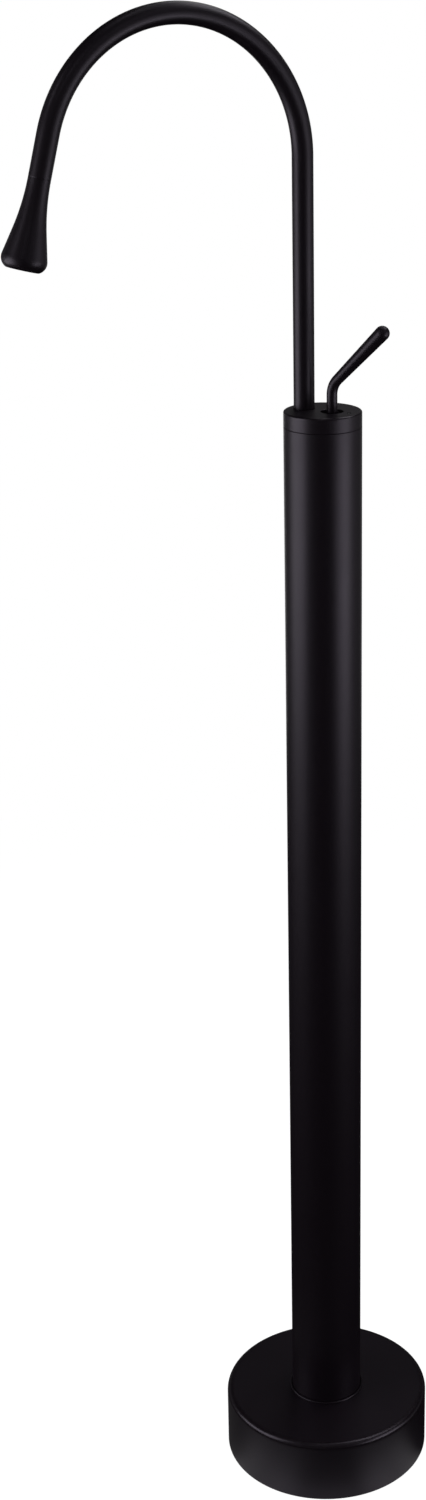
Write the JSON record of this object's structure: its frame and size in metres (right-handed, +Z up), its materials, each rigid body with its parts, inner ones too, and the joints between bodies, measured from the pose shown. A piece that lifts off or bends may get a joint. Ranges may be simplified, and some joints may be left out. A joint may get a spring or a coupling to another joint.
{
  "type": "floor-standing basin mixer",
  "caption": "Slim round floor-standing mixer tap with a swan-neck swivel spout, flared nozzle, joystick lever on the cap and a drum-shaped floor cover.",
  "frame": {"origin": "on the floor at the column's axis, the centre of the floor flange's bolt circle", "axes": "+Z up along the column, -X the way the spout's arch reaches; the cap's line from the spout's foot over the lever to the index dot points 60 degrees clockwise from +X, seen from above"},
  "size_m": [0.3367, 0.175, 1.2289],
  "materials": {
    "satin_black": "satin black powder coat",
    "index_enamel": "dark enamel",
    "zinc_steel": "zinc-plated steel",
    "stainless": "bright stainless steel",
    "brass": "machined brass",
    "nickel": "nickel-plated brass",
    "braid": "stainless steel braid",
    "rubber": "black EPDM rubber",
    "white_plastic": "moulded acetal",
    "ceramic": "ground alumina",
    "chrome": "bright chrome plate"
  },
  "bodies": {
    "column": {"floor_flange": "zinc_steel", "levelling_screws": "stainless", "column_clamp_screws": "stainless", "column_tube": "satin_black", "column_head_ring": "zinc_steel", "head_screws": "stainless", "valve_body": "brass", "cap": "satin_black", "cap_o_ring": "rubber", "index_dot": "index_enamel", "spout_bush": "white_plastic", "spout_retainer": "stainless", "retainer_screw": "stainless", "cartridge_base": "white_plastic", "port_seals": "rubber", "cartridge_housing": "white_plastic", "fixed_disc": "ceramic", "cartridge_nut": "brass", "cold_hose": "braid", "hot_hose": "braid", "hose_ferrules": "stainless", "hose_nipples": "brass", "nipple_o_rings": "rubber", "hose_tails": "brass", "cold_supply_nut": "nickel", "hot_supply_nut": "nickel", "supply_seals": "rubber"},
    "cover": {"base_cover": "satin_black", "cover_collar": "satin_black", "collar_o_ring": "rubber"},
    "spout": {"spout_tube": "satin_black", "spout_spigot": "brass", "spout_o_rings": "rubber", "nozzle": "satin_black", "aerator_washer": "rubber", "aerator_housing": "chrome", "aerator_insert": "white_plastic", "aerator_outlet": "chrome"},
    "rotor": {"rotor": "white_plastic", "pivot_pin": "stainless", "rotor_o_ring": "rubber"},
    "lever": {"spindle": "stainless", "lever_handle": "satin_black", "lever_grub_screw": "stainless"},
    "discs": {"disc_carrier": "white_plastic", "moving_disc": "ceramic"}
  },
  "joints": [
    {"name": "cover_lift", "type": "slide", "parent": "column", "child": "cover", "axis": [0, 0, 1], "range_m": [0, 0.2]},
    {"name": "spout_swivel", "type": "hinge", "parent": "column", "child": "spout", "pos_m": [-0.008, 0.01386, 0.93], "axis": [0, 0, 1], "range_deg": [-60, 60]},
    {"name": "lever_turn", "type": "hinge", "parent": "column", "child": "rotor", "pos_m": [0.004, -0.00693, 0.919], "axis": [0, 0, 1], "range_deg": [-45, 45]},
    {"name": "lever_tilt", "type": "hinge", "parent": "rotor", "child": "lever", "pos_m": [0.004, -0.00693, 0.919], "axis": [0.866, 0.5, 0], "range_deg": [0, 20]},
    {"name": "disc_slide", "type": "slide", "parent": "rotor", "child": "discs", "axis": [0.5, -0.866, 0], "range_m": [-0.0032, 0]}
  ],
  "couplings": [
    {"joint": "disc_slide", "follows": "lever_tilt", "m_per_rad": -0.009}
  ]
}
